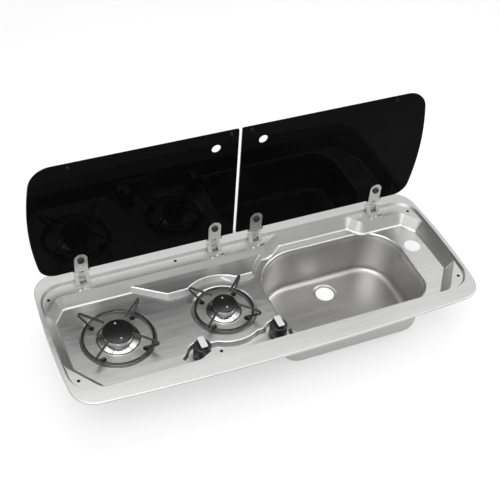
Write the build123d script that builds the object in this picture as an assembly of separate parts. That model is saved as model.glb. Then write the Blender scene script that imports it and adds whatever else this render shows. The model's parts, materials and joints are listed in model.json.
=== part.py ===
from build123d import *
import os
from math import tan, cos, sin, radians, sqrt, atan2, degrees, pi

# A drop-in unit: a pressed steel pan with two gas burners on the left, a bowl on the right and
# two glass lids hinged at the back. Millimetres. X runs left to right, Y front to back, Z up.
# The origin is in the middle of the pan, on the plane of the worktop that its rim lies on.

# ---- pan: rim ----
pan_length = 900.0
pan_depth = 370.0
side_bow = 10.8
front_bow = 16.4
rim_corner = 52.0
sheet = 1.0
rim_lift = 4.0
rim_end_width = 9.5
rim_back_width = 31.8
rim_edge_round = 2.5
# ---- pan: recess and its levels, as depths below the top of the rim ----
recess_side_bow = 4.0
recess_corner = 52.0
recess_draft = 35.0
shelf_drop = 6.0
step_drop = 19.0
deck_drop = 30.0
control_drop = 42.0
bowl_drop = 140.0
rim_hole_round = 3.0
deck_fillet = 6.0
ledge_front = 113.5
ledge_end = 63.0
ledge_end_slant = 34.0
platform_start = 300.0
platform_slant = 22.0
tab_reach_x = 50.0
tab_reach_y = 67.0
front_tab_x = -139.0
front_tab_length = 84.0
front_tab_reach = 15.0
outline_round = 24.0
ledge_nose_round = 16.0
# ---- pan: step behind the small burner ----
step_left = -262.0
step_cusp_x = -184.0
step_front = 52.0
step_edge_round = 3.0
step_cusp_round = 12.0
step_ring_gap = 14.0
step_bowl_gap = 17.0
step_end = 70.0
# ---- pan: bowl, tap ledge ----
bowl_left = 18.0
bowl_right = 358.0
bowl_front = -122.0
bowl_back = 103.0
bowl_corner_front_left = 40.0
bowl_corner_front_right = 55.0
bowl_corner_back_right = 80.0
bowl_corner_back_left = 102.0
bowl_draft = 2.5
bowl_edge_round = 5.0
bowl_fillet = 14.0
waste_x = 194.0
waste_y = 50.0
waste_hole = 42.0
waste_dish = 56.0
waste_dish_depth = 2.0
tap_x = 389.0
tap_y = 27.0
tap_hole = 37.0
# ---- pan: control recess ----
control_left = -214.0
control_right = 31.6
control_front = -134.0
control_draft = 14.0
control_edge_round = 3.0
wall_step = 0.1
bay_radius = (31.0, 27.0)
bay_shift_y = (-5.0, 1.0)
bay_side = -89.0
arch_radius = 88.0
bay_nose_round = 7.0
# ---- pan: fixing holes ----
fix_hole = 7.0
fix_x = 420.0
fix_y = 111.0
fix_middle_back_y = 134.0
fix_middle_front_y = -134.0
# ---- rim seal ----
seal_width = 3.5
seal_gap = 2.0
lip_gap = 0.6
# ---- burners: left is the large one ----
burner_x = (-312.0, -84.0)
burner_y = -13.0
cap_diameter = (64.0, 51.0)
cap_thickness = 4.0
cap_dome = 2.0
crown_inset = 3.5
crown_height = 11.0
crown_wall = 4.0
port_count = (28, 22)
port_width = 1.8
port_height = 2.6
crown_lip = 3.0
crown_floor = 3.0
collar_height = 8.0
collar_inset = 3.0
body_wall = 3.0
body_depth = 40.0
body_flange = 6.0
flange_thickness = 3.0
drip_ring_diameter = (90.0, 75.0)
drip_ring_rise = 4.0
drip_ring_sheet = 1.2
drip_ring_edge = 4.0
dish_diameter = (156.0, 140.0)
dish_depth = 2.0
dish_slope = 5.0
cap_screw_offset = (21.0, 13.5)
cap_screw_head = 5.0
cap_screw_shank = 3.0
mixing_tube = 18.0
mixing_length = (26.0, 22.0)
mixing_wall = 2.0
mixing_axis = 27.0
jet_sleeve_wall = 1.5
jet_sleeve_length = 18.0
jet_sleeve_grip = 6.0
jet_end_wall = 3.0
jet_nozzle = 5.0
jet_nozzle_length = 6.0
air_window = 6.0
# ---- pot supports ----
wire = 5.0
support_ring = (142.6, 120.6)
support_height = 1.0
ring_drop = 26.0
tip_radius = (99.0, 89.0)
inner_radius = (31.0, 28.0)
foot_radius = (61.0, 50.5)
tip_bend = 5.0
weld = 0.6
leg_end_drop = 28.0
grommet_diameter = 11.0
grommet_neck = 8.0
grommet_lip = 1.2
grommet_tail = 3.0
# ---- knobs and taps ----
knob_x = (-167.0, -1.0)
knob_y = -102.5
knob_diameter = 37.0
knob_top_diameter = 35.6
knob_skirt_height = 26.0
knob_floor_gap = 4.5
grip_length = 30.0
grip_width = 14.0
grip_height = 10.0
grip_cap = 1.2
grip_foot = 16.0
knob_wall = 2.5
knob_boss = 14.0
spindle = 8.0
spindle_flat = 1.5
spindle_grip_depth = 16.0
push_travel = 3.0
turn_range = 210.0
tap_block = 28.0
tap_block_height = 42.0
tap_bonnet = 3.0
tap_neck = 16.0
tap_neck_rise = 0.8
tap_bore = 13.0
tap_bore_depth = 26.0
tap_screw_offset = 11.2
tap_screw_head = 5.5
tap_screw_rise = 1.6
tap_screw_shank = 3.0
plunger = 4.0
spindle_depth = 8.0
spring_wire = 1.0
spring_turns = 4
# ---- gas pipes ----
rail_diameter = 10.0
rail_wall = 1.0
rail_above_foot = 8.0
rail_bend = 24.0
rail_run_x = -212.0
rail_end_gap = 3.0
inlet_y = 112.0
inlet_nut = 17.0
inlet_nut_length = 14.0
inlet_nut_reach = 6.0
pipe_diameter = 6.0
pipe_wall = 1.0
pipe_bend = 11.0
pipe_socket = 3.0
# ---- lids ----
lid_gap = 7.0
lid_half = 420.6
lid_side_bow = 18.0
lid_height = 279.0
lid_corner_front = 47.0
lid_corner_back = 36.0
lid_corner_inner = 3.0
glass = 5.0
lid_closed_gap = 6.0
finger_hole = 20.0
finger_x = 51.0
finger_from_edge = 38.0
lid_swing = 90.0
# ---- hinges ----
hinge_x = (-341.0, -48.0, 48.0, 341.0)
pivot_y = 143.5
pivot_height = 7.0
knuckle = 10.0
pin = 4.0
pin_play = 0.15
ear_width = 7.5
leaf_width = 28.0
leaf_shoulder = 36.0
leaf_sheet = 2.5
leaf_top = 72.0
leaf_shoulder_low = 20.5
leaf_shoulder_high = 27.5
leaf_pad = 0.7
leaf_screw_height = 55.0
leaf_screw_head = 15.0
leaf_screw_rise = 3.0
leaf_screw_shank = 6.0
base_width = 31.0
base_sheet = 3.0
base_front = 114.5
base_back = 138.0
base_screw_y = 119.5
screw_head = 6.5
screw_head_rise = 2.0
screw_shank = 3.8
rivet_offset = 31.0
rivet_y = 135.5
rivet_head = 6.0
rivet_rise = 1.2
rivet_shank = 3.0
backing_sheet = 2.0
backing_wide = 70.0
backing_narrow = 30.0
backing_front = 116.5
backing_shoulder = 131.5
backing_back = 139.0
clamp_disc = 18.0
clamp_thickness = 3.0
buffer_diameter = 7.0
buffer_from_edge = 5.0
buffer_inner_x = 22.0
buffer_outer_x = 352.0
# ---- running clearances ----
slip = 0.3
side_play = 0.35
fit_play = 0.1

# ---- worked out ----
rim_top = rim_lift
half_length = pan_length / 2
half_depth = (pan_depth - front_bow) / 2
recess_half = half_length - rim_end_width
recess_half_depth = half_depth - rim_back_width
shelf_z = rim_top - shelf_drop
step_z = rim_top - step_drop
deck_z = rim_top - deck_drop
dish_z = deck_z - dish_depth
control_z = rim_top - control_drop
bowl_z = rim_top - bowl_drop
pivot_z = rim_top + pivot_height
shelf_half = recess_half - shelf_drop * tan(radians(recess_draft)) - wall_step
shelf_half_depth = recess_half_depth - shelf_drop * tan(radians(recess_draft))
lid_bottom = leaf_shoulder_low - pivot_height + 5.0
glass_back = lid_closed_gap - pivot_height + glass
glass_front = glass_back - glass
leaf_back = glass_front - leaf_pad
leaf_front = leaf_back - leaf_sheet
sides = ("left", "right")


def block(x0, x1, y0, y1, z0, z1):
    return Pos((x0 + x1) / 2, (y0 + y1) / 2, (z0 + z1) / 2) * Box(x1 - x0, y1 - y0, z1 - z0)


def rod(x, y, z0, z1, diameter):
    return Pos(x, y, (z0 + z1) / 2) * Cylinder(diameter / 2, z1 - z0)


def rod_along_x(x0, x1, y, z, diameter):
    return Pos((x0 + x1) / 2, y, z) * Rot(0, 90, 0) * Cylinder(diameter / 2, x1 - x0)


def rod_along_y(x, y0, y1, z, diameter):
    return Pos(x, (y0 + y1) / 2, z) * Rot(90, 0, 0) * Cylinder(diameter / 2, y1 - y0)


def tube(x, y, z0, z1, outer, inner):
    return rod(x, y, z0, z1, outer) - rod(x, y, z0 - 1, z1 + 1, inner)


def spun(points, x=0.0, y=0.0):
    """A solid turned about the vertical line through x, y from (radius, z) points."""
    profile = make_face(Polyline(*[(r, 0, z) for r, z in points], close=True))
    return Pos(x, y, 0) * revolve(profile, Axis.Z, 360)


def polygon(*points):
    return make_face(Polyline(*points, close=True))


def near(vertex, x, y, reach=2.0):
    return abs(vertex.X - x) < reach and abs(vertex.Y - y) < reach


def bowed(half, deep, side, front):
    """A rectangle with arched ends and, where front isn't 0, an arched front edge."""
    corner = half - side
    if front > 0:
        front_edge = ThreePointArc((-corner, -deep), (0, -deep - front), (corner, -deep))
    else:
        front_edge = Line((-corner, -deep), (corner, -deep))
    return make_face([
        front_edge,
        ThreePointArc((corner, -deep), (half, 0), (corner, deep)),
        Line((corner, deep), (-corner, deep)),
        ThreePointArc((-corner, deep), (-half, 0), (-corner, -deep)),
    ])


def rim_outline(inset=0.0):
    shape = bowed(half_length - inset, half_depth - inset, side_bow, front_bow)
    return fillet(shape.vertices(), rim_corner - inset)


def recess_outline():
    shape = bowed(recess_half, recess_half_depth, recess_side_bow, 0)
    return fillet(shape.vertices(), recess_corner)


def front_lens(far):
    """The middle front fixing tab, in plan, reaching back from the front wall."""
    half_tab = front_tab_length / 2
    left, right = front_tab_x - half_tab, front_tab_x + half_tab
    edge = -shelf_half_depth
    return make_face([
        ThreePointArc((left, edge), (front_tab_x, front_tab_reach + edge), (right, edge)),
        Line((right, edge), (right, edge - far)),
        Line((right, edge - far), (left, edge - far)),
        Line((left, edge - far), (left, edge)),
    ])


def shelf_outline():
    """Outline of the deep part at shelf level, in front of the hinge ledge and fixing tabs."""
    shape = bowed(shelf_half, shelf_half_depth, recess_side_bow, 0)
    far_x, far_y = shelf_half + 50, shelf_half_depth + 50
    slope = tab_reach_y / tab_reach_x
    corner_x = shelf_half - recess_side_bow
    for side in (-1, 1):
        for end in (-1, 1):
            start_y = shelf_half_depth + 50
            start_x = corner_x - tab_reach_x - 50 / slope
            end_x = corner_x + 50
            end_y = shelf_half_depth - tab_reach_y - 50 * slope
            shape -= polygon((side * start_x, end * start_y), (side * end_x, end * start_y),
                             (side * end_x, end * end_y))
    shape -= polygon((-far_x, ledge_front), (ledge_end, ledge_front),
                     (ledge_end + ledge_end_slant, shelf_half_depth),
                     (ledge_end + ledge_end_slant, far_y), (-far_x, far_y))
    shape -= polygon((far_x, ledge_front), (platform_start, ledge_front),
                     (platform_start - platform_slant, shelf_half_depth),
                     (platform_start - platform_slant, far_y), (far_x, far_y))
    shape -= front_lens(50)
    noses = [(ledge_end, ledge_front), (platform_start, ledge_front)]
    outer = [v for v in shape.vertices() if not any(near(v, x, y) for x, y in noses)]
    shape = fillet(outer, outline_round)
    inner = [v for v in shape.vertices() if any(near(v, x, y) for x, y in noses)]
    return fillet(inner, ledge_nose_round)


def sunk(face, top, depth, draft):
    """A well with walls that lean in by the draft, from top down by depth."""
    floor = offset(face, amount=-depth * tan(radians(draft)))
    return loft([Pos(0, 0, top) * face, Pos(0, 0, top - depth) * floor], ruled=True)


def rounded_floor(well, radius):
    return fillet(well.faces().sort_by(Axis.Z)[0].edges(), radius)


def mouth(well, region, radius):
    """The part of a well inside a flat region, with its top edge rounded over."""
    plate = region - well
    top = region.bounding_box().max.Z
    limits = region.bounding_box()
    rims = []
    for edge in plate.edges().filter_by_position(Axis.Z, top - 0.001, top + 0.001):
        middle = edge @ 0.5
        inside_x = limits.min.X + 0.01 < middle.X < limits.max.X - 0.01
        inside_y = limits.min.Y + 0.01 < middle.Y < limits.max.Y - 0.01
        if inside_x and inside_y:
            rims.append(edge)
    return region - fillet(rims, radius)


def step_outline():
    """The raised step between the burner, the bowl and the hinge ledge, at deck level."""
    far = shelf_half_depth
    shape = polygon((step_left, ledge_front - 8), (step_cusp_x, step_front), (step_end, step_front),
                    (step_end, far), (step_left, far))
    ring = dish_diameter[1] / 2 + step_ring_gap
    shape -= Pos(burner_x[1], burner_y) * Circle(ring)
    corner_x = bowl_left + bowl_corner_back_left
    corner_y = bowl_back - bowl_corner_back_left
    shape -= Pos(corner_x, corner_y) * Circle(bowl_corner_back_left + step_bowl_gap)
    corners = [v for v in shape.vertices() if v.Y < step_front + 0.1]
    return fillet(corners, step_cusp_round)


def control_front_outline():
    """The front half of the control recess, at shelf level."""
    back = knob_y + 5
    shape = polygon((control_left, control_front), (control_right, control_front),
                    (control_right, knob_y), (control_right - 30, back),
                    (control_left + 35, back), (control_left, knob_y)) - front_lens(20)
    corners = [v for v in shape.vertices() if v.Y < knob_y - 1]
    return fillet(corners, bay_nose_round + 6)


def control_outline():
    """The whole control recess at deck level: two bays for the knobs and an arch between."""
    run = (deck_drop - shelf_drop) * tan(radians(control_draft))
    front = offset(control_front_outline(), amount=-run - wall_step)
    box = front.bounding_box()
    join = knob_y - run - 4
    bay_x = knob_x[0] - bay_radius[0]
    shape = polygon((box.min.X, join), (box.min.X, join + 6), (bay_x + 10, bay_side),
                    (knob_x[1], bay_side), (box.max.X, knob_y), (box.max.X, join))
    for x, radius, shift in zip(knob_x, bay_radius, bay_shift_y):
        shape += Pos(x, knob_y + shift) * Circle(radius)
    shape -= Pos(burner_x[1], burner_y) * Circle(arch_radius)
    shape = shape - polygon((box.min.X - 50, join), (box.max.X + 50, join),
                            (box.max.X + 50, join - 60), (box.min.X - 50, join - 60))
    noses = [v for v in shape.vertices() if abs(v.Y - bay_side) < 0.1
             and knob_x[0] < v.X < knob_x[1]]
    shape = fillet(noses, bay_nose_round)
    shape += front
    kinks = [v for v in shape.vertices() if near(v, box.min.X, join + 6, 0.5)
             or near(v, bay_x + 2, bay_side - 8, 2.5)
             or near(v, box.max.X, knob_y - 4, 2.5)]
    return fillet(kinks, bay_nose_round)


def bowl_outline():
    shape = polygon((bowl_left, bowl_front), (bowl_right, bowl_front), (bowl_right, bowl_back),
                    (bowl_left, bowl_back))
    rounds = [
        (bowl_left, bowl_front, bowl_corner_front_left),
        (bowl_right, bowl_front, bowl_corner_front_right),
        (bowl_right, bowl_back, bowl_corner_back_right),
        (bowl_left, bowl_back, bowl_corner_back_left),
    ]
    for x, y, radius in rounds:
        shape = fillet([v for v in shape.vertices() if near(v, x, y)], radius)
    return shape


def cavity(grow):
    """The hollow of the pan. With grow 0 it is the inside, with grow at the sheet the outside."""
    side = grow / cos(radians(recess_draft))
    upper = sunk(offset(recess_outline(), amount=side) if grow else recess_outline(),
                 rim_top, shelf_drop + grow, recess_draft)
    drop = side - grow * tan(radians(recess_draft)) - wall_step
    low_face = offset(shelf_outline(), amount=drop) if grow else shelf_outline()
    low = sunk(low_face, shelf_z - grow, deck_drop - shelf_drop, recess_draft)
    low = rounded_floor(low, deck_fillet + grow)
    root = grow + 2.0 if grow else 0.0
    shift = root * tan(radians(recess_draft)) - side
    step_face = offset(step_outline(), amount=shift) if grow else step_outline()
    rise = deck_drop - step_drop + root - grow
    step = mirror(sunk(step_face, 0, rise, recess_draft), Plane.XY)
    if not grow:
        step = fillet(step.faces().sort_by(Axis.Z)[-1].edges(), step_edge_round)
    step = Pos(0, 0, deck_z - root) * step
    shape = upper + (low - step)
    steep = grow / cos(radians(control_draft))
    floor_z = deck_z - grow
    front_face = offset(control_front_outline(), amount=steep) if grow else control_front_outline()
    shape += sunk(front_face, shelf_z, deck_drop - shelf_drop + grow, control_draft)
    well_face = offset(control_outline(), amount=steep) if grow else control_outline()
    well = sunk(well_face, deck_z, control_drop - deck_drop + grow, control_draft)
    region = block(control_left - 20, control_right + 20, knob_y - 9, bay_side + 30,
                   floor_z - 5, floor_z)
    shape += well + mouth(well, region, control_edge_round - grow)
    upright = grow / cos(radians(bowl_draft))
    bowl_face = offset(bowl_outline(), amount=upright) if grow else bowl_outline()
    bowl = sunk(bowl_face, deck_z, bowl_drop - deck_drop + grow, bowl_draft)
    bowl = rounded_floor(bowl, bowl_fillet + grow)
    region = block(bowl_left - 20, bowl_right + 20, bowl_front - 20, bowl_back + 20,
                   floor_z - 8, floor_z)
    shape += bowl + mouth(bowl, region, bowl_edge_round - grow)
    for x, diameter in zip(burner_x, dish_diameter):
        outer, lean = diameter / 2, grow * 0.2
        shape += spun([(0, floor_z + 1), (outer + lean, floor_z + 1), (outer + lean, floor_z),
                       (outer - dish_slope + lean, dish_z - grow), (0, dish_z - grow)], x, burner_y)
    waste = waste_dish / 2
    shape += spun([(0, bowl_z - grow + 1), (waste + grow * 0.2, bowl_z - grow + 1),
                   (waste + grow * 0.2, bowl_z - grow), (waste - 3.5, bowl_z - waste_dish_depth - grow),
                   (0, bowl_z - waste_dish_depth - grow)], waste_x, waste_y)
    return shape


def pan():
    outline = rim_outline()
    skirt = extrude(Pos(0, 0, lip_gap) * outline, rim_top - lip_gap)
    skirt = fillet(skirt.faces().sort_by(Axis.Z)[-1].edges(), rim_edge_round)
    under = extrude(rim_outline(sheet), rim_top - sheet)
    under = fillet(under.faces().sort_by(Axis.Z)[-1].edges(), rim_edge_round - sheet)
    shape = (skirt - under) + cavity(sheet)
    shape -= cavity(0)
    for x in (-fix_x, fix_x):
        for y in (-fix_y, fix_y):
            shape -= rod(x, y, shelf_z - 3, shelf_z + 1, fix_hole)
    for y in (fix_middle_front_y, fix_middle_back_y):
        shape -= rod(front_tab_x, y, shelf_z - 3, shelf_z + 1, fix_hole)
    shape -= rod(waste_x, waste_y, bowl_z - 6, bowl_z + 2, waste_hole)
    shape -= rod(tap_x, tap_y, deck_z - 3, deck_z + 1, tap_hole)
    for i in (0, 1):
        shape -= rod(burner_x[i], burner_y, dish_z - 3, dish_z + 1, 2 * collar_radius(i) + 2 * slip)
        for x, y in foot_places(i):
            shape -= rod(x, y, dish_z - 3, dish_z + 1, grommet_neck)
        shape -= rod(knob_x[i], knob_y, control_z - 3, control_z + 1, tap_neck + 2 * slip)
        for x in (-tap_screw_offset, tap_screw_offset):
            shape -= rod(knob_x[i] + x, knob_y, control_z - 3, control_z + 1, tap_screw_shank)
    for x in hinge_x:
        shape -= rod(x, base_screw_y, shelf_z - 3, shelf_z + 1, screw_shank)
        for side in (-rivet_offset, rivet_offset):
            shape -= rod(x + side, rivet_y, shelf_z - 3, shelf_z + 1, rivet_shank)
    return shape


def collar_radius(i):
    return cap_diameter[i] / 2 - crown_inset - collar_inset


def foot_places(i):
    reach = foot_radius[i] / sqrt(2)
    return [(burner_x[i] + a * reach, burner_y + b * reach) for a in (-1, 1) for b in (-1, 1)]


def rim_seal():
    outside = rim_outline(sheet + seal_gap)
    inside = rim_outline(sheet + seal_gap + seal_width)
    return extrude(outside - inside, rim_top - sheet)


# ---- burners ----
def burner_body(i):
    top = dish_z - sheet
    outer = collar_radius(i)
    inner = outer - body_wall
    bottom = top - body_depth
    shape = spun([(0, bottom), (outer, bottom), (outer, top - flange_thickness),
                  (outer + body_flange, top - flange_thickness), (outer + body_flange, top),
                  (outer, top), (outer, dish_z + collar_height), (0, dish_z + collar_height)],
                 burner_x[i], burner_y)
    end = burner_x[i] + outer + mixing_length[i]
    shape += rod_along_x(burner_x[i] + inner - 1, end, burner_y, top - mixing_axis, mixing_tube)
    shape -= rod(burner_x[i], burner_y, bottom + body_wall, top + 40, 2 * inner)
    return shape - rod_along_x(burner_x[i], end + 1, burner_y, top - mixing_axis,
                               mixing_tube - 2 * mixing_wall)


def burner_crown(i):
    low = dish_z + collar_height
    high = low + crown_height
    outer = cap_diameter[i] / 2 - crown_inset
    spigot = collar_radius(i) - body_wall - fit_play
    opening = cap_screw_offset[i] - 6
    shape = spun([(opening, low - crown_lip), (spigot, low - crown_lip), (spigot, low),
                  (outer, low), (outer, high), (outer - crown_wall, high),
                  (outer - crown_wall, low + crown_floor), (opening, low + crown_floor)],
                 burner_x[i], burner_y)
    count = port_count[i]
    for n in range(count // 2):
        turn = Rot(0, 0, 180 * (n + 0.5) / (count // 2))
        slot = Box(2 * outer + 4, port_width, port_height)
        shape -= Pos(burner_x[i], burner_y, high - port_height / 2) * turn * slot
    for y in (-cap_screw_offset[i], cap_screw_offset[i]):
        shape += rod(burner_x[i], burner_y + y, low + crown_floor - 1, high, cap_screw_head + 3)
        shape -= rod(burner_x[i], burner_y + y, high - 7, high + 1, cap_screw_shank)
    return shape


def burner_cap(i):
    low = dish_z + collar_height + crown_height
    high = low + cap_thickness
    outer = cap_diameter[i] / 2
    reach = outer - 1.8
    ball = (reach * reach + cap_dome * cap_dome) / (2 * cap_dome)
    middle = sqrt(ball * ball - reach * reach / 4) - ball + cap_dome
    profile = make_face([
        Line((0, 0, low), (outer - 0.8, 0, low)),
        Line((outer - 0.8, 0, low), (outer, 0, low + 0.8)),
        Line((outer, 0, low + 0.8), (outer, 0, high - 1.5)),
        ThreePointArc((outer, 0, high - 1.5), (outer - 0.5, 0, high - 0.4),
                      (reach, 0, high)),
        ThreePointArc((reach, 0, high), (reach / 2, 0, high + middle), (0, 0, high + cap_dome)),
        Line((0, 0, high + cap_dome), (0, 0, low)),
    ])
    shape = Pos(burner_x[i], burner_y, 0) * revolve(profile, Axis.Z, 360)
    for y in (-cap_screw_offset[i], cap_screw_offset[i]):
        shape -= rod(burner_x[i], burner_y + y, high, high + 9, cap_screw_head)
        shape -= rod(burner_x[i], burner_y + y, low - 1, high + 1, cap_screw_shank)
    return shape


def slotted_screw(x, y, seat, head, rise, shank, length):
    shape = rod(x, y, seat, seat + rise, head)
    shape = fillet(shape.faces().sort_by(Axis.Z)[-1].edges(), rise * 0.45)
    shape += rod(x, y, seat - length, seat + rise / 2, shank)
    return shape - Pos(x, y, seat + rise) * Rot(0, 0, 35) * Box(head + 1, head * 0.14, rise)


def cap_screws():
    seat = dish_z + collar_height + crown_height + cap_thickness
    parts = []
    for i in (0, 1):
        for y in (-cap_screw_offset[i], cap_screw_offset[i]):
            parts.append(slotted_screw(burner_x[i], burner_y + y, seat, cap_screw_head, 2.4,
                                       cap_screw_shank, cap_thickness + 6))
    return Compound(parts)


def drip_ring(i):
    inner = collar_radius(i) + slip
    outer = drip_ring_diameter[i] / 2
    low, high = dish_z, dish_z + drip_ring_rise
    t = drip_ring_sheet
    return spun([(inner, high - t), (inner + 4, high - t), (outer - drip_ring_edge, low),
                 (outer, low), (outer, low + t), (outer - drip_ring_edge + 0.5, low + t),
                 (inner + 4.5, high), (inner, high)], burner_x[i], burner_y)


def jet_place(i):
    return burner_x[i] + collar_radius(i) + mixing_length[i] - jet_sleeve_grip


def jet_holder(i):
    start = jet_place(i)
    end = start + jet_sleeve_length
    z = dish_z - sheet - mixing_axis
    outer = mixing_tube + 2 * jet_sleeve_wall
    shape = rod_along_x(start, end, burner_y, z, outer)
    shape -= rod_along_x(start - 1, end - jet_end_wall, burner_y, z, mixing_tube)
    shape += rod_along_x(end - jet_end_wall - jet_nozzle_length, end - 1, burner_y, z, jet_nozzle)
    window_x = start + jet_sleeve_grip + air_window / 2 + 1
    for turn in (0, 90):
        shape -= Pos(window_x, burner_y, z) * Rot(turn, 0, 0) * Box(air_window, 7, outer + 4)
    shape += rod_along_x(window_x - 1, end - 1, burner_y, z, jet_nozzle)
    shape -= rod_along_x(window_x - 2, end + 1, burner_y, z, 1.0)
    return shape - rod_along_x(end - pipe_socket + 1, end + 1, burner_y, z, pipe_diameter)


def pot_support(i):
    foot_r, tip_r, in_r = foot_radius[i], tip_radius[i], inner_radius[i]
    foot_z, arm_z = rim_top - leg_end_drop, rim_top + support_height
    bottom = dish_z - 5
    path = FilletPolyline((in_r, 0, arm_z), (tip_r, 0, arm_z), (foot_r, 0, foot_z),
                          (foot_r, 0, bottom), radius=tip_bend)
    finger = sweep(Plane(origin=path @ 0, z_dir=path % 0) * Circle(wire / 2), path)
    end = finger.faces().sort_by_distance((in_r, 0, arm_z))[0]
    finger = fillet(end.edges(), wire / 2 - 0.4)
    run, rise = tip_r - foot_r, arm_z - foot_z
    reach = sqrt(run * run + rise * rise)
    ring_r = support_ring[i] / 2
    ring_z = foot_z + ((ring_r - foot_r) * rise - (wire - weld) * reach) / run
    ring = (Pos(0, 0, ring_z) * Torus(ring_r, wire / 2)).solid()
    fingers = [(Rot(0, 0, 45 + 90 * n) * finger).solid() for n in range(4)]
    shape = ring.fuse(*fingers).solid().fix()
    return Pos(burner_x[i], burner_y, 0) * shape


def support_grommets(i):
    parts = []
    for x, y in foot_places(i):
        shape = rod(x, y, dish_z, dish_z + grommet_lip, grommet_diameter)
        shape += rod(x, y, dish_z - sheet - grommet_tail, dish_z + 0.1, grommet_neck)
        parts.append(shape - rod(x, y, dish_z - 9, dish_z + 3, wire + 2 * slip))
    return Compound(parts)


# ---- knobs and gas taps ----
knob_low = control_z + knob_floor_gap
tap_top = control_z - sheet - tap_bonnet
tap_low = tap_top - tap_block_height
jet_z = dish_z - sheet - mixing_axis


def knob(i):
    top = knob_low + knob_skirt_height
    shape = spun([(0, knob_low), (knob_diameter / 2, knob_low), (knob_top_diameter / 2, top),
                  (0, top)])
    shape = fillet(shape.faces().sort_by(Axis.Z)[-1].edges(), 2.5)
    hollow = knob_diameter / 2 - knob_wall
    shape -= spun([(0, knob_low - 1), (hollow, knob_low - 1), (hollow - 1, top - knob_wall - 1),
                   (0, top - knob_wall - 1)])
    shape += rod(0, 0, knob_low + 3, top - 1, knob_boss)
    foot = RectangleRounded(grip_foot, grip_length, 3)
    crest = RectangleRounded(grip_width, grip_length - 1, 3)
    shape += loft([Pos(0, 0, top - 1) * foot, Pos(0, 0, top + grip_height - grip_cap) * crest])
    socket = rod(0, 0, knob_low - 1, knob_low + 3 + spindle_grip_depth, spindle + 0.02)
    socket -= block(spindle / 2 - spindle_flat, spindle, -spindle, spindle, knob_low - 2, top)
    return Pos(knob_x[i], knob_y, 0) * (shape - socket)


def knob_grip_cap(i):
    top = knob_low + knob_skirt_height + grip_height
    plate = extrude(Pos(0, 0, top - grip_cap) * RectangleRounded(grip_width, grip_length - 1, 3),
                    grip_cap)
    plate = fillet(plate.faces().sort_by(Axis.Z)[-1].edges(), 0.6)
    return Pos(knob_x[i], knob_y, 0) * plate


def tap_spindle(i):
    low = tap_top - spindle_depth
    high = knob_low + 2.8 + spindle_grip_depth
    shape = rod(0, 0, low, high, spindle)
    shape -= block(spindle / 2 - spindle_flat, spindle, -spindle, spindle, knob_low - 1, high + 1)
    return Pos(knob_x[i], knob_y, 0) * shape


def tap_plunger(i):
    top = tap_top - spindle_depth
    return rod(knob_x[i], knob_y, top - plunger, top, tap_bore - 2 * slip)


def tap_spring(i):
    low = tap_top - tap_bore_depth
    high = tap_top - spindle_depth - plunger
    rise = high - low - spring_wire
    radius = tap_bore / 2 - slip - spring_wire / 2 - 0.6
    coil = Helix(rise / spring_turns, rise, radius)
    start = Plane(origin=coil @ 0, z_dir=coil % 0)
    return Pos(knob_x[i], knob_y, low + spring_wire / 2) * sweep(start * Circle(spring_wire / 2), coil)


def tap_bonnet_plate(i):
    half = tap_block / 2
    x = knob_x[i]
    shape = block(x - half, x + half, knob_y - half, knob_y + half, tap_top, tap_top + tap_bonnet)
    shape += rod(x, knob_y, tap_top, control_z + tap_neck_rise, tap_neck)
    shape -= rod(x, knob_y, tap_top - 1, control_z + 5, spindle + 2 * slip)
    for side in (-tap_screw_offset, tap_screw_offset):
        shape -= rod(x + side, knob_y, tap_top - 1, tap_top + 9, tap_screw_shank)
    return shape


def gas_tap(i):
    half = tap_block / 2
    x = knob_x[i]
    shape = block(x - half, x + half, knob_y - half, knob_y + half, tap_low, tap_top)
    shape = fillet(shape.edges().filter_by(Axis.Z), 3)
    shape -= rod(x, knob_y, tap_top - tap_bore_depth, tap_top + 1, tap_bore)
    for side in (-tap_screw_offset, tap_screw_offset):
        shape -= rod(x + side, knob_y, tap_top - 6, tap_top + 1, tap_screw_shank)
    shape -= rod_along_x(x - 20, x + 20, knob_y, tap_low + rail_above_foot, rail_diameter)
    return shape - rod_along_y(x, knob_y + half - pipe_socket, knob_y + half + 1, jet_z,
                               pipe_diameter)


def tap_screws():
    parts = []
    for x in knob_x:
        for side in (-tap_screw_offset, tap_screw_offset):
            length = control_z - tap_top + 6
            parts.append(slotted_screw(x + side, knob_y, control_z, tap_screw_head, tap_screw_rise,
                                       tap_screw_shank, length))
    return Compound(parts)


# ---- gas pipes ----
def swept_pipe(points, bend, outer, wall):
    path = FilletPolyline(*points, radius=bend)
    start = Plane(origin=path @ 0, z_dir=path % 0)
    return sweep(start * (Circle(outer / 2) - Circle(outer / 2 - wall)), path)


def gas_rail():
    z = tap_low + rail_above_foot
    end = knob_x[1] + tap_block / 2 + rail_end_gap
    shape = swept_pipe([(end, knob_y, z), (rail_run_x, knob_y, z), (rail_run_x, inlet_y, z)],
                       rail_bend, rail_diameter, rail_wall)
    return shape + rod_along_x(end - 2, end, knob_y, z, rail_diameter)


def gas_inlet_nut():
    z = tap_low + rail_above_foot
    face = RegularPolygon(inlet_nut / 2, 6, major_radius=False)
    start = inlet_y + inlet_nut_reach
    nut = Pos(rail_run_x, start, z) * Rot(90, 0, 0) * extrude(face, inlet_nut_length)
    nut -= rod_along_y(rail_run_x, start - 20, inlet_y, z, rail_diameter)
    return nut - rod_along_y(rail_run_x, inlet_y, start + 1, z, rail_diameter + 1.5)


def feed_pipe(i):
    end = jet_place(i) + jet_sleeve_length - pipe_socket + 1
    start_y = knob_y + tap_block / 2 - pipe_socket
    return swept_pipe([(knob_x[i], start_y, jet_z), (knob_x[i], burner_y, jet_z),
                       (end, burner_y, jet_z)], pipe_bend, pipe_diameter, pipe_wall)


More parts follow.
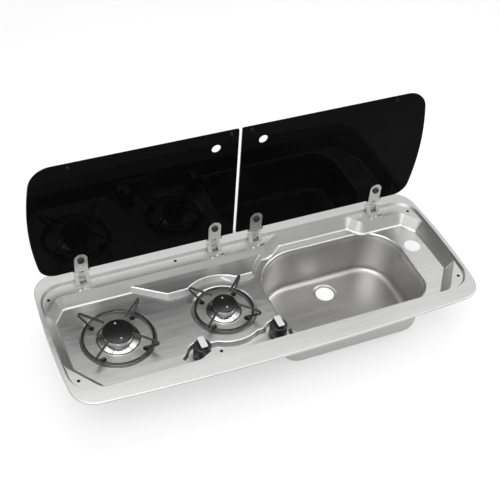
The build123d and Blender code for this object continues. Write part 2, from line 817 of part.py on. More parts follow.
# ---- lids and hinges: drawn upright, as they stand when open ----
def upright(face, back, thickness):
    """A plate standing on edge: a face drawn in x and height over the pivot."""
    plane = Plane(origin=(0, pivot_y + back, pivot_z), x_dir=(1, 0, 0), z_dir=(0, -1, 0))
    return extrude(plane * face, thickness)


def glass_lid(i):
    low, high = lid_bottom, lid_bottom + lid_height
    inner, outer = lid_gap / 2, lid_half
    middle = (low + high) / 2
    face = make_face([
        Line((inner, low), (outer, low)),
        ThreePointArc((outer, low), (outer + lid_side_bow, middle), (outer, high)),
        Line((outer, high), (inner, high)),
        Line((inner, high), (inner, low)),
    ])
    face = fillet([v for v in face.vertices() if near(v, outer, low)], lid_corner_back)
    face = fillet([v for v in face.vertices() if near(v, outer, high)], lid_corner_front)
    face = fillet([v for v in face.vertices() if abs(v.X - inner) < 0.1], lid_corner_inner)
    face -= Pos(finger_x, high - finger_from_edge) * Circle(finger_hole / 2)
    for x in hinge_x[2:]:
        face -= Pos(x, leaf_screw_height - pivot_height) * Circle(leaf_screw_shank / 2)
    plate = upright(face, glass_back, glass)
    broad = plate.faces().sort_by(Axis.Y)
    plate = chamfer(broad[0].edges() + broad[-1].edges(), 0.6)
    return mirror(plate, Plane.YZ) if i == 0 else plate


def leaf_face():
    narrow = ear_width - side_play
    low, high = leaf_shoulder_low - pivot_height, leaf_shoulder_high - pivot_height
    half, top = leaf_width / 2, leaf_top - pivot_height
    face = Pos(0, low / 2 + 1) * Rectangle(2 * narrow, low + 2)
    face += Pos(0, (low + high) / 2) * RectangleRounded(leaf_shoulder, high - low, 2)
    face += Pos(0, (high - 1 + top - half) / 2) * Rectangle(leaf_width, top - half - high + 1)
    face += Pos(0, top - half) * Circle(half)
    face -= Pos(0, (low + high) / 2) * RectangleRounded(10, 4, 1.9)
    return face - Pos(0, leaf_screw_height - pivot_height) * Circle(leaf_screw_shank / 2)


def hinge_leaf(n):
    narrow = ear_width - side_play
    shape = upright(leaf_face(), leaf_back, leaf_sheet)
    shape += rod_along_x(-narrow, narrow, pivot_y, pivot_z, knuckle)
    shape -= rod_along_x(-narrow - 1, narrow + 1, pivot_y, pivot_z, pin + 2 * pin_play)
    return Pos(hinge_x[n], 0, 0) * shape


def leaf_pads(i):
    low = lid_bottom
    half, top = leaf_width / 2 - 0.5, leaf_top - pivot_height - 0.5
    face = Pos(0, (low + top - half) / 2) * Rectangle(2 * half, top - half - low)
    face += Pos(0, top - half) * Circle(half)
    face -= Pos(0, leaf_screw_height - pivot_height) * Circle(leaf_screw_shank / 2)
    pad = upright(face, glass_front, leaf_pad)
    return Compound([Pos(x, 0, 0) * pad for x in hinge_x[2 * i:2 * i + 2]])


def leaf_screws(i):
    z = pivot_z + leaf_screw_height - pivot_height
    parts = []
    for x in hinge_x[2 * i:2 * i + 2]:
        front = pivot_y + leaf_front
        head = rod_along_y(x, front - leaf_screw_rise, front, z, leaf_screw_head)
        head = fillet(head.faces().sort_by(Axis.Y)[0].edges(), 1.0)
        head -= Pos(x, front - leaf_screw_rise, z) * Rot(0, 40, 0) * Box(9, 2.4, 1.8)
        parts.append(head + rod_along_y(x, front - 1, pivot_y + glass_back + clamp_thickness, z,
                                        leaf_screw_shank))
    return Compound(parts)


def clamp_discs(i):
    z = pivot_z + leaf_screw_height - pivot_height
    back = pivot_y + glass_back
    parts = []
    for x in hinge_x[2 * i:2 * i + 2]:
        disc = rod_along_y(x, back, back + clamp_thickness, z, clamp_disc)
        disc = fillet(disc.faces().sort_by(Axis.Y)[-1].edges(), 0.8)
        parts.append(disc - rod_along_y(x, back - 1, back + 9, z, leaf_screw_shank))
    return Compound(parts)


def lid_buffers(i):
    height = lid_closed_gap - slip
    z = pivot_z + lid_bottom + lid_height - buffer_from_edge
    side = -1 if i == 0 else 1
    front = pivot_y + glass_front
    parts = []
    for x in (buffer_inner_x, buffer_outer_x):
        post = rod_along_y(side * x, front - height, front, z, buffer_diameter)
        parts.append(fillet(post.faces().sort_by(Axis.Y)[0].edges(), 1.2))
    return Compound(parts)


def hinge_base(n):
    half = base_width / 2
    plate = block(-half, half, base_front, base_back, shelf_z, shelf_z + base_sheet)
    corners = [e for e in plate.edges().filter_by(Axis.Z) if (e @ 0.5).Y < base_front + 1]
    plate = fillet(corners, 6)
    top = shelf_z + base_sheet
    lean = make_face(Polyline(
        (0, base_back - 7, shelf_z + 1), (0, base_back, shelf_z + 1),
        (0, base_back + 1.5, shelf_z + 4), (0, pivot_y - 2, rim_top + 1.2),
        (0, pivot_y + 3.4, pivot_z - 3.6), (0, pivot_y, pivot_z),
        (0, pivot_y - 4.2, pivot_z + 2.6), (0, base_back - 9, top - 0.5), close=True))
    shape = plate
    for x0, x1 in ((-half, -ear_width), (ear_width, half)):
        shape += Pos(x0, 0, 0) * extrude(lean, x1 - x0, dir=(1, 0, 0))
        shape += rod_along_x(x0, x1, pivot_y, pivot_z, knuckle)
    shape -= rod_along_x(-half - 1, half + 1, pivot_y, pivot_z, pin)
    shape -= rod(0, base_screw_y, shelf_z - 1, top + 1, screw_shank)
    return Pos(hinge_x[n], 0, 0) * shape


def hinge_pins():
    half = base_width / 2
    return Compound([rod_along_x(x - half, x + half, pivot_y, pivot_z, pin) for x in hinge_x])


def base_screws():
    seat = shelf_z + base_sheet
    length = base_sheet + sheet + backing_sheet + 1.5
    return Compound([slotted_screw(x, base_screw_y, seat, screw_head, screw_head_rise,
                                   screw_shank, length) for x in hinge_x])


def rivets():
    parts = []
    for x in hinge_x:
        for side in (-rivet_offset, rivet_offset):
            head = rod(x + side, rivet_y, shelf_z, shelf_z + rivet_rise, rivet_head)
            head = fillet(head.faces().sort_by(Axis.Z)[-1].edges(), 0.9)
            parts.append(head + rod(x + side, rivet_y, shelf_z - sheet - backing_sheet - 0.8,
                                    shelf_z + 0.2, rivet_shank))
    return Compound(parts)


def backing_plates():
    top = shelf_z - sheet
    low = top - backing_sheet
    parts = []
    for x in hinge_x:
        shape = block(x - backing_wide / 2, x + backing_wide / 2, backing_shoulder, backing_back,
                      low, top)
        shape += block(x - backing_narrow / 2, x + backing_narrow / 2, backing_front,
                       backing_back, low, top)
        shape -= rod(x, base_screw_y, low - 1, top + 1, screw_shank)
        for side in (-rivet_offset, rivet_offset):
            shape -= rod(x + side, rivet_y, low - 1, top + 1, rivet_shank)
        parts.append(shape)
    return Compound(parts)


def all_parts():
    parts = {
        "pan": pan(),
        "rim_seal": rim_seal(),
        "cap_screws": cap_screws(),
        "tap_screws": tap_screws(),
        "gas_rail": gas_rail(),
        "gas_inlet_nut": gas_inlet_nut(),
        "hinge_pins": hinge_pins(),
        "base_screws": base_screws(),
        "rivets": rivets(),
        "backing_plates": backing_plates(),
    }
    pairs = {
        "burner_body": burner_body, "burner_crown": burner_crown, "burner_cap": burner_cap,
        "drip_ring": drip_ring, "jet_holder": jet_holder, "pot_support": pot_support,
        "support_grommets": support_grommets, "knob": knob, "knob_grip_cap": knob_grip_cap,
        "tap_spindle": tap_spindle, "tap_plunger": tap_plunger, "tap_spring": tap_spring,
        "tap_bonnet": tap_bonnet_plate, "gas_tap": gas_tap, "feed_pipe": feed_pipe,
        "glass_lid": glass_lid, "leaf_pads": leaf_pads, "leaf_screws": leaf_screws,
        "clamp_discs": clamp_discs, "lid_buffers": lid_buffers,
    }
    for name, make in pairs.items():
        for i, side in enumerate(sides):
            parts[name + "_" + side] = make(i)
    for n in range(4):
        parts["hinge_leaf_%d" % (n + 1)] = hinge_leaf(n)
        parts["hinge_base_%d" % (n + 1)] = hinge_base(n)
    return parts


os.makedirs("parts", exist_ok=True)
for name, shape in all_parts().items():
    export_step(shape, "parts/%s.step" % name)
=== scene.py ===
import bpy
import json
from math import cos, radians, sin
from mathutils import Matrix, Vector


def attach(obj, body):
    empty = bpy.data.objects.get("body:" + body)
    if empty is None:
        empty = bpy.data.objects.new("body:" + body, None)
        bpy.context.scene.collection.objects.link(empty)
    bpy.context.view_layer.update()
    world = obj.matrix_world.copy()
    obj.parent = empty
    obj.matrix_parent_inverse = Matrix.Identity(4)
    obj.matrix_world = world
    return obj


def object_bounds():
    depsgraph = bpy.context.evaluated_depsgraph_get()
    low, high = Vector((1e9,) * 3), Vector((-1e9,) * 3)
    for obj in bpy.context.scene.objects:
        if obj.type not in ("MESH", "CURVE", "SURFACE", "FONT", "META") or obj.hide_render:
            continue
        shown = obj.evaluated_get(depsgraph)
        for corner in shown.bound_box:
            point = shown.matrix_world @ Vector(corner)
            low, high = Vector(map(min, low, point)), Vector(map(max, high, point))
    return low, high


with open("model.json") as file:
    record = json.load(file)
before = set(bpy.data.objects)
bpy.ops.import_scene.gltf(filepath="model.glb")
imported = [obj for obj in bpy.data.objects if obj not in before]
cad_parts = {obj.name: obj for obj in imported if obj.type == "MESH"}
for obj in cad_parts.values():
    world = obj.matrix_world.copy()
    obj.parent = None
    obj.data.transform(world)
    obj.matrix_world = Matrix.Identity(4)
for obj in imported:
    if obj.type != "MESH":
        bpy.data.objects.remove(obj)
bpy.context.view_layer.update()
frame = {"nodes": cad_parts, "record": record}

# Places and lengths in metres, in the frame of the steel pan.
burner_places = [(-0.312, -0.013), (-0.084, -0.013)]
heat_reach = [0.074, 0.064]
bowl_top = -0.030
hole_places = [(-0.420, -0.111), (-0.420, 0.111), (0.420, -0.111), (0.420, 0.111),
               (-0.139, -0.134), (-0.139, 0.134)]
# Black sleeves in the fixing holes: painted shade, standing in for the shade inside the open
# holes.
shade_sleeve_level = -0.00195
shade_sleeve_outer_radius = 0.00345
shade_sleeve_inner_radius = 0.0026
shade_sleeve_depth = 0.0065
weld_distance = 0.000001
fine_relief = 0.00003
cast_relief = 0.00012
floor_reach = 9.0
floor_gap = 0.0005

# The camera, with its angles in degrees and its lens in millimetres.
lens_length = 71.04
sensor_width = 36.0
camera_place = (-0.6615, -1.2869, 1.4755)
camera_azimuth = -26.16
camera_elevation = 43.47
camera_roll = 4.73

# Lamps: name, place, width and height, power in watts.
lamps = [
    ("Key", (-1.2, -1.4, 2.6), (2.2, 1.4), 46),
    ("Fill", (2.2, -0.6, 1.8), (1.6, 1.6), 18),
    ("Top", (0.2, 0.6, 2.8), (2.4, 1.2), 22),
]
white = (1, 1, 1, 1)


# ---- node helpers ----
class Tree:
    """Adds nodes to a tree, each to the right of the last, and joins their sockets."""

    def __init__(self, tree):
        self.tree = tree
        self.column = 0

    def add(self, kind, label="", **settings):
        node = self.tree.nodes.new(kind)
        node.location = (self.column, 0)
        self.column += 180
        node.label = label
        for key, value in settings.items():
            setattr(node, key, value)
        return node

    def join(self, out_socket, in_socket):
        self.tree.links.new(out_socket, in_socket)

    def put(self, socket, value):
        """A number, a colour, or another node's output."""
        if isinstance(value, bpy.types.NodeSocket):
            self.join(value, socket)
        else:
            socket.default_value = value

    def math(self, operation, a, b=0.0, c=0.0, clamp=False):
        node = self.add("ShaderNodeMath", operation=operation, use_clamp=clamp)
        for socket, value in zip(node.inputs, (a, b, c)):
            self.put(socket, value)
        return node.outputs[0]

    def ramp(self, value, low, high, start=0.0, end=1.0):
        """A smooth step of value from low to high."""
        node = self.add("ShaderNodeMapRange", interpolation_type="SMOOTHSTEP")
        self.put(node.inputs["Value"], value)
        self.put(node.inputs["From Min"], low)
        self.put(node.inputs["From Max"], high)
        self.put(node.inputs["To Min"], start)
        self.put(node.inputs["To Max"], end)
        return node.outputs["Result"]

    def blend(self, factor, a, b):
        node = self.add("ShaderNodeMix", data_type="RGBA")
        self.put(node.inputs["Factor"], factor)
        self.put(node.inputs["A"], a)
        self.put(node.inputs["B"], b)
        return node.outputs["Result"]


def new_group(name, inputs, outputs):
    """An empty shader group with named sockets, as (its tree, input node, output node)."""
    group = bpy.data.node_groups.new(name, "ShaderNodeTree")
    for label, kind, value in inputs:
        socket = group.interface.new_socket(name=label, in_out="INPUT", socket_type=kind)
        if value is not None:
            socket.default_value = value
    for label, kind in outputs:
        group.interface.new_socket(name=label, in_out="OUTPUT", socket_type=kind)
    tree = Tree(group)
    return group, tree, tree.add("NodeGroupInput"), tree.add("NodeGroupOutput")


# ---- surface effects shared by the finishes ----
def drawn_grain():
    """Fine parallel lines left by rolling, brushing or turning, and how strong they are."""
    group, tree, given, made = new_group(
        "Drawn grain",
        [("Vector", "NodeSocketVector", None), ("Stretch", "NodeSocketVector", (1, 18, 18)),
         ("Fineness", "NodeSocketFloat", 60.0)],
        [("Height", "NodeSocketFloat"), ("Streaks", "NodeSocketFloat")])
    scaled = tree.add("ShaderNodeVectorMath", operation="MULTIPLY")
    tree.join(given.outputs["Vector"], scaled.inputs[0])
    tree.join(given.outputs["Stretch"], scaled.inputs[1])
    fine = tree.add("ShaderNodeTexNoise", "fine lines")
    tree.join(scaled.outputs[0], fine.inputs["Vector"])
    tree.join(given.outputs["Fineness"], fine.inputs["Scale"])
    fine.inputs["Detail"].default_value = 5.0
    fine.inputs["Roughness"].default_value = 0.65
    broad = tree.add("ShaderNodeTexNoise", "broad bands")
    tree.join(scaled.outputs[0], broad.inputs["Vector"])
    tree.join(tree.math("MULTIPLY", given.outputs["Fineness"], 0.12), broad.inputs["Scale"])
    broad.inputs["Detail"].default_value = 2.0
    tree.join(fine.outputs["Fac"], made.inputs["Height"])
    mixed = tree.math("ADD", tree.math("MULTIPLY", fine.outputs["Fac"], 0.5),
                      tree.math("MULTIPLY", broad.outputs["Fac"], 0.5))
    tree.join(tree.ramp(mixed, 0.3, 0.7), made.inputs["Streaks"])
    return group


def handling_marks():
    """Soft cloudy patches where hands and cloths have been, with finer smears inside them."""
    group, tree, given, made = new_group(
        "Handling marks",
        [("Vector", "NodeSocketVector", None), ("Size", "NodeSocketFloat", 8.0)],
        [("Marks", "NodeSocketFloat")])
    cloud = tree.add("ShaderNodeTexNoise", "patches")
    tree.join(given.outputs["Vector"], cloud.inputs["Vector"])
    tree.join(given.outputs["Size"], cloud.inputs["Scale"])
    cloud.inputs["Detail"].default_value = 3.0
    cloud.inputs["Distortion"].default_value = 0.6
    smear = tree.add("ShaderNodeTexNoise", "smears")
    tree.join(given.outputs["Vector"], smear.inputs["Vector"])
    tree.join(tree.math("MULTIPLY", given.outputs["Size"], 9.0), smear.inputs["Scale"])
    smear.inputs["Detail"].default_value = 4.0
    smear.inputs["Distortion"].default_value = 1.5
    where = tree.ramp(cloud.outputs["Fac"], 0.42, 0.68)
    both = tree.math("MULTIPLY", where, tree.ramp(smear.outputs["Fac"], 0.3, 0.75))
    tree.join(both, made.inputs["Marks"])
    return group


def cast_skin():
    """The small bumps and pits of a cast, moulded or enamelled surface."""
    group, tree, given, made = new_group(
        "Cast skin",
        [("Vector", "NodeSocketVector", None), ("Fineness", "NodeSocketFloat", 700.0)],
        [("Height", "NodeSocketFloat"), ("Pits", "NodeSocketFloat")])
    bumps = tree.add("ShaderNodeTexNoise", "bumps")
    tree.join(given.outputs["Vector"], bumps.inputs["Vector"])
    tree.join(given.outputs["Fineness"], bumps.inputs["Scale"])
    bumps.inputs["Detail"].default_value = 3.0
    cells = tree.add("ShaderNodeTexVoronoi", "pits")
    tree.join(given.outputs["Vector"], cells.inputs["Vector"])
    tree.join(tree.math("MULTIPLY", given.outputs["Fineness"], 0.5), cells.inputs["Scale"])
    pits = tree.ramp(cells.outputs["Distance"], 0.05, 0.35)
    height = tree.math("ADD", tree.math("MULTIPLY", bumps.outputs["Fac"], 0.7),
                       tree.math("MULTIPLY", pits, 0.3))
    tree.join(height, made.inputs["Height"])
    tree.join(pits, made.inputs["Pits"])
    return group


def scratches():
    """Sparse thin scratches at many angles, as use leaves on steel and glass."""
    group, tree, given, made = new_group(
        "Scratches",
        [("Vector", "NodeSocketVector", None), ("Fineness", "NodeSocketFloat", 30.0)],
        [("Lines", "NodeSocketFloat")])
    total = None
    for turn, spread in ((0.4, 1.0), (1.7, 1.4), (2.6, 0.8)):
        turned = tree.add("ShaderNodeVectorRotate", rotation_type="Z_AXIS")
        tree.join(given.outputs["Vector"], turned.inputs["Vector"])
        turned.inputs["Angle"].default_value = turn
        wide = tree.add("ShaderNodeVectorMath", operation="MULTIPLY")
        tree.join(turned.outputs[0], wide.inputs[0])
        wide.inputs[1].default_value = (spread, 26.0, 6.0)
        lines = tree.add("ShaderNodeTexNoise", "lines")
        tree.join(wide.outputs[0], lines.inputs["Vector"])
        tree.join(given.outputs["Fineness"], lines.inputs["Scale"])
        lines.inputs["Detail"].default_value = 2.0
        thin = tree.ramp(lines.outputs["Fac"], 0.66, 0.72)
        total = thin if total is None else tree.math("MAXIMUM", total, thin)
    tree.join(total, made.inputs["Lines"])
    return group


groups = {
    "grain": drawn_grain(), "marks": handling_marks(), "skin": cast_skin(), "lines": scratches(),
}


# ---- finishes ----
def start(name):
    """A new material with its shader, and the place on the object as its texture vector."""
    material = bpy.data.materials.new(name)
    material.use_nodes = True
    material.node_tree.nodes.clear()
    tree = Tree(material.node_tree)
    place = tree.add("ShaderNodeTexCoord")
    shader = tree.add("ShaderNodeBsdfPrincipled")
    out = tree.add("ShaderNodeOutputMaterial")
    tree.join(shader.outputs["BSDF"], out.inputs["Surface"])
    return material, tree, place.outputs["Object"], shader


def effect(tree, name, vector, **values):
    node = tree.add("ShaderNodeGroup")
    node.node_tree = groups[name]
    tree.join(vector, node.inputs["Vector"])
    for label, value in values.items():
        node.inputs[label.replace("_", " ")].default_value = value
    return node.outputs


def bump(tree, shader, height, strength, depth):
    node = tree.add("ShaderNodeBump")
    node.inputs["Strength"].default_value = strength
    node.inputs["Distance"].default_value = depth
    tree.join(height, node.inputs["Height"])
    tree.join(node.outputs["Normal"], shader.inputs["Normal"])


def shade(colour, factor):
    return tuple(min(1.0, c * factor) for c in colour) + (1.0,)


def metal(name, colour, rough, stretch=(1, 18, 18), fineness=60.0, relief=0.12, worn=0.08,
          shift=0.1):
    """Bare or plated metal with a drawn, brushed or turned grain, marks and fine scratches."""
    material, tree, place, shader = start(name)
    grain = effect(tree, "grain", place, Stretch=stretch, Fineness=fineness)
    marks = effect(tree, "marks", place, Size=11.0)["Marks"]
    lines = effect(tree, "lines", place, Fineness=34.0)["Lines"]
    tone = tree.blend(grain["Streaks"], shade(colour, 1 - shift), shade(colour, 1 + shift * 0.5))
    tone = tree.blend(tree.math("MULTIPLY", marks, 0.35), tone, shade(colour, 0.86))
    tree.join(tone, shader.inputs["Base Color"])
    base = tree.ramp(grain["Streaks"], 0.0, 1.0, rough * 0.85, rough * 1.15)
    rougher = tree.math("MULTIPLY_ADD", marks, worn, base)
    rougher = tree.math("MULTIPLY_ADD", lines, worn, rougher, clamp=True)
    tree.join(rougher, shader.inputs["Roughness"])
    shader.inputs["Metallic"].default_value = 1.0
    height = tree.math("MULTIPLY_ADD", lines, -0.4, grain["Height"])
    bump(tree, shader, height, relief, fine_relief)
    return material


def pan_finish():
    """Satin sheet, brushed along the pan, a little rougher in the bowl and darker there as painted
    shade, faintly tinted by the burners.
    """
    material, tree, place, shader = start("Satin pan steel")
    colour = (0.61, 0.61, 0.605)
    grain = effect(tree, "grain", place, Stretch=(1, 22, 22), Fineness=55.0)
    marks = effect(tree, "marks", place, Size=7.0)["Marks"]
    lines = effect(tree, "lines", place, Fineness=26.0)["Lines"]
    split = tree.add("ShaderNodeSeparateXYZ")
    tree.join(place, split.inputs[0])
    # depth goes from 0 to 1 down into the bowl: it makes the steel a little rougher there, and
    # drives the painted shade below.
    depth = tree.ramp(split.outputs["Z"], bowl_top - 0.004, bowl_top - 0.016)
    tone = tree.blend(grain["Streaks"], shade(colour, 0.94), shade(colour, 1.03))
    tone = tree.blend(tree.math("MULTIPLY", marks, 0.22), tone, shade(colour, 0.9))
    # Painted shade: the colour darkens towards a dull grey down in the bowl.
    tone = tree.blend(tree.math("MULTIPLY", depth, 0.75), tone, (0.43, 0.425, 0.41, 1.0))
    heat = None
    for (x, y), reach in zip(burner_places, heat_reach):
        across = tree.math("SUBTRACT", split.outputs["X"], x)
        along = tree.math("SUBTRACT", split.outputs["Y"], y)
        away = tree.math("SQRT", tree.math("ADD", tree.math("POWER", across, 2.0),
                                           tree.math("POWER", along, 2.0)))
        near = tree.ramp(away, reach, reach * 0.45)
        heat = near if heat is None else tree.math("MAXIMUM", heat, near)
    tone = tree.blend(tree.math("MULTIPLY", heat, 0.22), tone, (0.66, 0.57, 0.44, 1.0))
    tree.join(tone, shader.inputs["Base Color"])
    base = tree.ramp(grain["Streaks"], 0.0, 1.0, 0.33, 0.385)
    base = tree.math("MULTIPLY_ADD", depth, 0.03, base)
    base = tree.math("MULTIPLY_ADD", marks, 0.05, base)
    base = tree.math("MULTIPLY_ADD", lines, 0.05, base, clamp=True)
    tree.join(base, shader.inputs["Roughness"])
    shader.inputs["Metallic"].default_value = 1.0
    height = tree.math("MULTIPLY_ADD", lines, -0.5, grain["Height"])
    bump(tree, shader, height, 0.05, fine_relief)
    return material


def black_glass():
    """Black toughened glass: glossy, with wiped smears and a few hairline scratches."""
    material, tree, place, shader = start("Black toughened glass")
    marks = effect(tree, "marks", place, Size=5.0)["Marks"]
    lines = effect(tree, "lines", place, Fineness=18.0)["Lines"]
    tone = tree.blend(marks, (0.0022, 0.0022, 0.0026, 1.0), (0.0045, 0.0045, 0.005, 1.0))
    tree.join(tone, shader.inputs["Base Color"])
    rough = tree.math("MULTIPLY_ADD", marks, 0.05, 0.035)
    tree.join(tree.math("MULTIPLY_ADD", lines, 0.10, rough), shader.inputs["Roughness"])
    shader.inputs["Specular IOR Level"].default_value = 0.03
    shader.inputs["IOR"].default_value = 1.5
    bump(tree, shader, lines, 0.03, fine_relief)
    return material


def dull(name, colour, rough, fineness=900.0, relief=0.25, depth=cast_relief, lighter=1.8,
         specular=0.5):
    """Rubber, foam, moulded plastic or enamel: a fine skin with slightly polished marks."""
    material, tree, place, shader = start(name)
    skin = effect(tree, "skin", place, Fineness=fineness)
    marks = effect(tree, "marks", place, Size=26.0)["Marks"]
    tone = tree.blend(skin["Pits"], shade(colour, 0.75), shade(colour, 1.0))
    tone = tree.blend(tree.math("MULTIPLY", marks, 0.4), tone, shade(colour, lighter))
    tree.join(tone, shader.inputs["Base Color"])
    base = tree.ramp(skin["Height"], 0.2, 0.8, rough * 1.1, rough * 0.9)
    tree.join(tree.math("MULTIPLY_ADD", marks, -0.12 * rough, base), shader.inputs["Roughness"])
    shader.inputs["Specular IOR Level"].default_value = specular
    bump(tree, shader, skin["Height"], relief, depth)
    return material


def cast_metal(name, colour, rough):
    """Die-cast alloy: a pebbled grey skin, darker in the pits."""
    material, tree, place, shader = start(name)
    skin = effect(tree, "skin", place, Fineness=1100.0)
    marks = effect(tree, "marks", place, Size=30.0)["Marks"]
    tone = tree.blend(skin["Pits"], shade(colour, 0.72), shade(colour, 1.0))
    tone = tree.blend(tree.math("MULTIPLY", marks, 0.5), tone, shade(colour, 0.7))
    tree.join(tone, shader.inputs["Base Color"])
    base = tree.ramp(skin["Height"], 0.2, 0.8, rough * 1.15, rough * 0.85)
    tree.join(tree.math("MULTIPLY_ADD", marks, 0.1, base), shader.inputs["Roughness"])
    shader.inputs["Metallic"].default_value = 1.0
    bump(tree, shader, skin["Height"], 0.3, cast_relief)
    return material


finishes = {
    "pan_steel": pan_finish(),
    "foam_seal": dull("Closed-cell foam", (0.045, 0.045, 0.045), 0.9, 500.0, 0.8, 0.0004),
    "screw_steel": metal("Zinc-plated screws", (0.66, 0.66, 0.65), 0.26, (6, 6, 6), 160.0),
    "pipe_steel": metal("Galvanised tube", (0.52, 0.53, 0.53), 0.42, (3, 9, 9), 90.0, 0.3),
    "pipe_aluminium": metal("Drawn aluminium tube", (0.76, 0.77, 0.77), 0.3, (2, 16, 16), 80.0),
    "brass_fitting": metal("Turned brass", (0.74, 0.55, 0.26), 0.28, (14, 14, 2), 110.0),
    "burner_aluminium": cast_metal("Die-cast burner alloy", (0.70, 0.70, 0.68), 0.36),
    "black_enamel": dull("Black enamel", (0.012, 0.012, 0.012), 0.26, 1500.0, 0.25, 0.00006, 2.2),
    "wire_enamel": dull("Black enamelled wire", (0.014, 0.014, 0.014), 0.22, 1300.0, 0.2, 0.00005,
                        2.0),
    "bright_steel": metal("Bright steel wire", (0.62, 0.62, 0.61), 0.20, (4, 12, 12), 120.0, 0.1),
    "bracket_steel": metal("Satin hinge steel", (0.60, 0.60, 0.59), 0.20, (14, 2, 2), 90.0),
    "black_rubber": dull("Black rubber", (0.010, 0.010, 0.010), 0.8, 1200.0, 0.3, specular=0.15),
    "black_plastic": dull("Black moulded plastic", (0.014, 0.014, 0.015), 0.34, 1800.0, 0.25,
                          0.00005),
    "white_plastic": dull("Pale grip plastic", (0.72, 0.72, 0.71), 0.25, 1600.0, 0.1, 0.00004,
                          0.92),
    "spring_steel": metal("Spring wire", (0.45, 0.45, 0.44), 0.3, (8, 8, 2), 140.0),
    "tap_alloy": cast_metal("Die-cast tap alloy", (0.55, 0.55, 0.56), 0.45),
    "black_glass": black_glass(),
    "dark_screw": dull("Black screw caps", (0.016, 0.016, 0.016), 0.4, 1500.0, 0.2, 0.00005),
}


def dress_nodes():
    """Every node of the frame gets the finish of its slot, except the pot supports, which get
    black enamelled wire.
    """
    for row in frame["record"]["subparts"]:
        node = frame["nodes"][row["node"]]
        node.data.materials.clear()
        finish = "wire_enamel" if row["node"].startswith("pot_support") else row["material_slot"]
        node.data.materials.append(finishes[finish])


# ---- repeated pieces, from geometry nodes ----
def shade_sleeve_tree():
    """Short tubes, one at each point: a flat ring between two circles, extruded downwards."""
    tree = bpy.data.node_groups.new("Hole shade sleeves", "GeometryNodeTree")
    face = tree.interface
    face.new_socket(name="Geometry", in_out="INPUT", socket_type="NodeSocketGeometry")
    for label in ("Outer radius", "Inner radius", "Depth"):
        face.new_socket(name=label, in_out="INPUT", socket_type="NodeSocketFloat")
    face.new_socket(name="Finish", in_out="INPUT", socket_type="NodeSocketMaterial")
    face.new_socket(name="Geometry", in_out="OUTPUT", socket_type="NodeSocketGeometry")
    add, join = tree.nodes.new, tree.links.new
    given, made = add("NodeGroupInput"), add("NodeGroupOutput")
    outer, inner = add("GeometryNodeCurvePrimitiveCircle"), add("GeometryNodeCurvePrimitiveCircle")
    for ring, label in ((outer, "Outer radius"), (inner, "Inner radius")):
        ring.inputs["Resolution"].default_value = 32
        join(given.outputs[label], ring.inputs["Radius"])
    both, fill = add("GeometryNodeJoinGeometry"), add("GeometryNodeFillCurve")
    deep, whole = add("GeometryNodeExtrudeMesh"), add("GeometryNodeJoinGeometry")
    join(outer.outputs[0], both.inputs[0])
    join(inner.outputs[0], both.inputs[0])
    join(both.outputs[0], fill.inputs["Curve"])
    join(fill.outputs["Mesh"], deep.inputs["Mesh"])
    deep.inputs["Individual"].default_value = False
    down = add("ShaderNodeMath")
    down.operation = "MULTIPLY"
    down.inputs[1].default_value = -1.0
    join(given.outputs["Depth"], down.inputs[0])
    join(down.outputs[0], deep.inputs["Offset Scale"])
    join(deep.outputs["Mesh"], whole.inputs[0])
    join(fill.outputs["Mesh"], whole.inputs[0])
    weld = add("GeometryNodeMergeByDistance")
    weld.inputs["Distance"].default_value = weld_distance
    join(whole.outputs[0], weld.inputs["Geometry"])
    spread = add("GeometryNodeInstanceOnPoints")
    join(given.outputs["Geometry"], spread.inputs["Points"])
    join(weld.outputs[0], spread.inputs["Instance"])
    real, finish = add("GeometryNodeRealizeInstances"), add("GeometryNodeSetMaterial")
    join(spread.outputs[0], real.inputs[0])
    join(real.outputs[0], finish.inputs["Geometry"])
    join(given.outputs["Finish"], finish.inputs["Material"])
    join(finish.outputs[0], made.inputs["Geometry"])
    return tree


def set_input(modifier, tree, label, value):
    for item in tree.interface.items_tree:
        if item.in_out == "INPUT" and item.name == label:
            modifier[item.identifier] = value


def solid_from(name, points, tree, values):
    """A plain mesh object made by running a node tree on a set of points."""
    seed = bpy.data.meshes.new(name + "_points")
    seed.from_pydata(points, [], [])
    carrier = bpy.data.objects.new(name + "_carrier", seed)
    bpy.context.scene.collection.objects.link(carrier)
    modifier = carrier.modifiers.new("Shape", "NODES")
    modifier.node_group = tree
    for label, value in values.items():
        set_input(modifier, tree, label, value)
    shapes = bpy.context.evaluated_depsgraph_get()
    bpy.context.view_layer.update()
    mesh = bpy.data.meshes.new_from_object(carrier.evaluated_get(shapes))
    bpy.data.objects.remove(carrier)
    mesh.name = name
    piece = bpy.data.objects.new(name, mesh)
    bpy.context.scene.collection.objects.link(piece)
    return piece


def hole_shade_sleeves():
    """Black sleeves set into the six open holes of the fixing screws, as painted shade: they stand
    in for the shade inside the holes.
    """
    places = [(x, y, shade_sleeve_level) for x, y in hole_places]
    piece = solid_from("fixing_hole_shade_sleeves", places, shade_sleeve_tree(),
                       {"Outer radius": shade_sleeve_outer_radius, "Inner radius": shade_sleeve_inner_radius,
                        "Depth": shade_sleeve_depth, "Finish": finishes["black_rubber"]})
    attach(piece, "base")


# ---- surroundings ----
def backdrop_rays(tree):
    """1 on rays from the camera and on those reflected or let through, 0 on all others."""
    rays = tree.add("ShaderNodeLightPath")
    seen = tree.math("MAXIMUM", rays.outputs["Is Camera Ray"], rays.outputs["Is Glossy Ray"])
    return tree.math("MAXIMUM", seen, rays.outputs["Is Transmission Ray"])


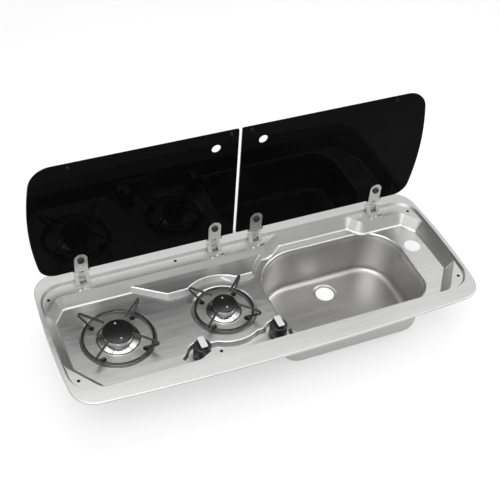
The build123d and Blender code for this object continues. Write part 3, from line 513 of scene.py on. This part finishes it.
def pale_floor():
    """A plain sheet under the object, that glows a little where the camera sees it."""
    low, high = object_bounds()
    level = low[2] - floor_gap
    mesh = bpy.data.meshes.new("floor")
    corners = [(x * floor_reach, y * floor_reach, level)
               for x, y in ((-1, -1), (1, -1), (1, 1), (-1, 1))]
    mesh.from_pydata(corners, [], [(0, 1, 2, 3)])
    floor = bpy.data.objects.new("floor", mesh)
    bpy.context.scene.collection.objects.link(floor)
    material, tree, place, shader = start("Pale paper floor")
    fibre = effect(tree, "marks", place, Size=3.0)["Marks"]
    tone = tree.blend(fibre, (0.62, 0.62, 0.62, 1.0), (0.605, 0.605, 0.605, 1.0))
    tree.join(tone, shader.inputs["Base Color"])
    shader.inputs["Roughness"].default_value = 0.9
    shader.inputs["Specular IOR Level"].default_value = 0.1
    tree.join(backdrop_rays(tree), shader.inputs["Emission Strength"])
    shader.inputs["Emission Color"].default_value = (0.46, 0.46, 0.46, 1.0)
    mesh.materials.append(material)


def soft_lamp(name, place, size, power):
    """A rectangular lamp that shines on the middle of the object."""
    data = bpy.data.lights.new(name, "AREA")
    data.shape = "RECTANGLE"
    data.size, data.size_y = size
    data.energy = power
    lamp = bpy.data.objects.new(name, data)
    bpy.context.scene.collection.objects.link(lamp)
    lamp.location = place
    lamp.rotation_euler = (-Vector(place)).to_track_quat("-Z", "Y").to_euler()


def studio_sky():
    """A dim room that lights the object, behind a white backdrop that the camera sees."""
    world = bpy.data.worlds.new("Studio")
    bpy.context.scene.world = world
    world.use_nodes = True
    world.node_tree.nodes.clear()
    tree = Tree(world.node_tree)
    seen = backdrop_rays(tree)
    room = tree.add("ShaderNodeBackground", "light on the object")
    room.inputs["Color"].default_value = white
    room.inputs["Strength"].default_value = 0.42
    toward = tree.add("ShaderNodeTexCoord")
    parts = tree.add("ShaderNodeSeparateXYZ")
    tree.join(toward.outputs["Generated"], parts.inputs[0])
    overhead = tree.ramp(parts.outputs["Z"], 0.05, 0.72, 0.10, 1.0)
    rays = tree.add("ShaderNodeLightPath")
    level = tree.math("MAXIMUM", overhead, rays.outputs["Is Camera Ray"])
    level = tree.math("MAXIMUM", level, rays.outputs["Is Transmission Ray"])
    paper = tree.add("ShaderNodeBackground", "white backdrop, darker low down in reflections")
    paper.inputs["Color"].default_value = white
    tree.join(level, paper.inputs["Strength"])
    both = tree.add("ShaderNodeMixShader")
    tree.join(seen, both.inputs[0])
    tree.join(room.outputs[0], both.inputs[1])
    tree.join(paper.outputs[0], both.inputs[2])
    out = tree.add("ShaderNodeOutputWorld")
    tree.join(both.outputs[0], out.inputs["Surface"])


def photo_camera():
    """A camera at the place and angles listed above, with its roll about the line of sight."""
    turn, tilt, roll = radians(camera_azimuth), radians(camera_elevation), radians(camera_roll)
    right = Vector((cos(turn), sin(turn), 0))
    back = Vector((sin(turn) * cos(tilt), -cos(turn) * cos(tilt), sin(tilt)))
    up = back.cross(right)
    right, up = right * cos(roll) + up * sin(roll), up * cos(roll) - right * sin(roll)
    data = bpy.data.cameras.new("Camera")
    data.lens = lens_length
    data.sensor_width = sensor_width
    camera = bpy.data.objects.new("Camera", data)
    bpy.context.scene.collection.objects.link(camera)
    matrix = Matrix((right, up, back)).transposed().to_4x4()
    matrix.translation = Vector(camera_place)
    camera.matrix_world = matrix
    bpy.context.scene.camera = camera


dress_nodes()
# Painted shade: black sleeves darken the open fixing holes.
hole_shade_sleeves()
pale_floor()
studio_sky()
for name, place, size, power in lamps:
    soft_lamp(name, place, size, power)
photo_camera()
bpy.context.scene.view_settings.view_transform = "Standard"
